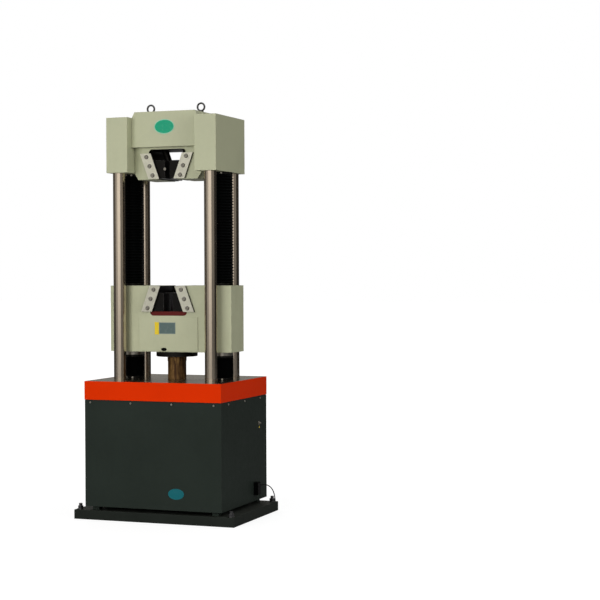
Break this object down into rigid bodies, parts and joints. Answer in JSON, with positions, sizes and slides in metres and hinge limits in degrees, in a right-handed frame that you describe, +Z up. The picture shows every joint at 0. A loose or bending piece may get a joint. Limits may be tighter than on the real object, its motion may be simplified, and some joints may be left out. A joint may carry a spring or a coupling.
{
  "type": "universal testing machine",
  "caption": "Floor-standing hydraulic testing machine frame with a lifting table and crosshead, a screw-driven middle crosshead, wedge grips, bellows and compression tools.",
  "frame": {"origin": "on the floor under the middle of the base plate", "axes": "+Z up, +X to the right seen from the front, the front faces -Y"},
  "size_m": [1, 0.8342, 2.412],
  "materials": {
    "dark_paint": "satin",
    "beige_paint": "satin",
    "orange_paint": "gloss",
    "ground_steel": "ground",
    "aged_steel": "oiled",
    "hard_steel": "hardened",
    "zinc_steel": "zinc plated",
    "nut_bronze": "machined",
    "bellows_rubber": "satin",
    "cable_jacket": "matte"
  },
  "bodies": {
    "base": {"base_plate": "dark_paint", "anchor_bolts": "zinc_steel", "machine_bed": "dark_paint", "screw_bearings": "zinc_steel", "cylinder_barrel": "dark_paint", "cylinder_head": "ground_steel", "drive_motor": "dark_paint", "drive_chain": "aged_steel", "enclosure_frame": "dark_paint", "front_panel": "dark_paint", "rear_panel": "dark_paint", "left_panel": "dark_paint", "right_panel": "dark_paint", "oil_port_block": "zinc_steel", "connector_box": "dark_paint", "cable_gland": "zinc_steel", "signal_cable": "cable_jacket", "cable_coil": "cable_jacket", "cable_plug": "zinc_steel"},
    "moving_frame": {"ram": "ground_steel", "ram_seat": "ground_steel", "work_table": "ground_steel", "table_skirt": "orange_paint", "front_left_column": "ground_steel", "front_right_column": "ground_steel", "rear_left_column": "ground_steel", "rear_right_column": "ground_steel", "column_nuts": "zinc_steel", "upper_crosshead": "beige_paint", "top_hood": "beige_paint", "left_end_cover": "beige_paint", "right_end_cover": "beige_paint", "upper_guide_plates": "ground_steel", "upper_jaw_cylinders": "ground_steel", "eyebolts": "zinc_steel", "compression_pillar": "aged_steel", "frame_bellows_rings": "zinc_steel", "upper_left_bellows": "bellows_rubber", "upper_right_bellows": "bellows_rubber", "lower_left_bellows": "bellows_rubber", "lower_right_bellows": "bellows_rubber"},
    "middle_crosshead": {"middle_crosshead": "beige_paint", "middle_covers": "beige_paint", "middle_guide_plates": "ground_steel", "middle_jaw_cylinders": "ground_steel", "rod_plate": "aged_steel", "screw_nuts": "nut_bronze", "upper_platen": "ground_steel", "middle_bellows_rings": "zinc_steel"},
    "upper_left_jaw": {"upper_left_jaw": "aged_steel", "upper_left_insert": "hard_steel"},
    "upper_right_jaw": {"upper_right_jaw": "aged_steel", "upper_right_insert": "hard_steel"},
    "middle_left_jaw": {"middle_left_jaw": "aged_steel", "middle_left_insert": "hard_steel"},
    "middle_right_jaw": {"middle_right_jaw": "aged_steel", "middle_right_insert": "hard_steel"},
    "left_screw": {"left_lead_screw": "ground_steel"},
    "right_screw": {"right_lead_screw": "ground_steel"},
    "motor_sprocket": {"motor_sprocket": "aged_steel"}
  },
  "joints": [
    {"name": "ram_lift", "type": "slide", "parent": "base", "child": "moving_frame", "axis": [0, 0, 1], "range_m": [0, 0.2]},
    {"name": "left_screw_spin", "type": "hinge", "parent": "base", "child": "left_screw", "pos_m": [-0.287, 0, 0.5], "axis": [0, 0, 1], "range_deg": [0, 14400]},
    {"name": "right_screw_spin", "type": "hinge", "parent": "base", "child": "right_screw", "pos_m": [0.287, 0, 0.5], "axis": [0, 0, 1], "range_deg": [0, 14400]},
    {"name": "motor_spin", "type": "hinge", "parent": "base", "child": "motor_sprocket", "pos_m": [0, 0.268, 0.1], "axis": [0, 0, 1], "range_deg": [0, 18832]},
    {"name": "crosshead_travel", "type": "slide", "parent": "moving_frame", "child": "middle_crosshead", "axis": [0, 0, 1], "range_m": [0, 0.4801], "deforming": ["upper_left_bellows", "upper_right_bellows", "lower_left_bellows", "lower_right_bellows"]},
    {"name": "upper_left_jaw_slide", "type": "slide", "parent": "moving_frame", "child": "upper_left_jaw", "axis": [-0.342, 0, 0.9397], "range_m": [0, 0.04]},
    {"name": "upper_right_jaw_slide", "type": "slide", "parent": "moving_frame", "child": "upper_right_jaw", "axis": [0.342, 0, 0.9397], "range_m": [0, 0.04]},
    {"name": "middle_left_jaw_slide", "type": "slide", "parent": "middle_crosshead", "child": "middle_left_jaw", "axis": [0.342, 0, 0.9397], "range_m": [0, 0.04]},
    {"name": "middle_right_jaw_slide", "type": "slide", "parent": "middle_crosshead", "child": "middle_right_jaw", "axis": [-0.342, 0, 0.9397], "range_m": [0, 0.04]}
  ],
  "couplings": [
    {"joint": "right_screw_spin", "follows": "left_screw_spin", "ratio": 1},
    {"joint": "motor_spin", "follows": "left_screw_spin", "ratio": 1.3077},
    {"joint": "crosshead_travel", "follows": "left_screw_spin", "m_per_rad": 0.0019099},
    {"joint": "upper_right_jaw_slide", "follows": "upper_left_jaw_slide", "ratio": 1},
    {"joint": "middle_right_jaw_slide", "follows": "middle_left_jaw_slide", "ratio": 1}
  ]
}
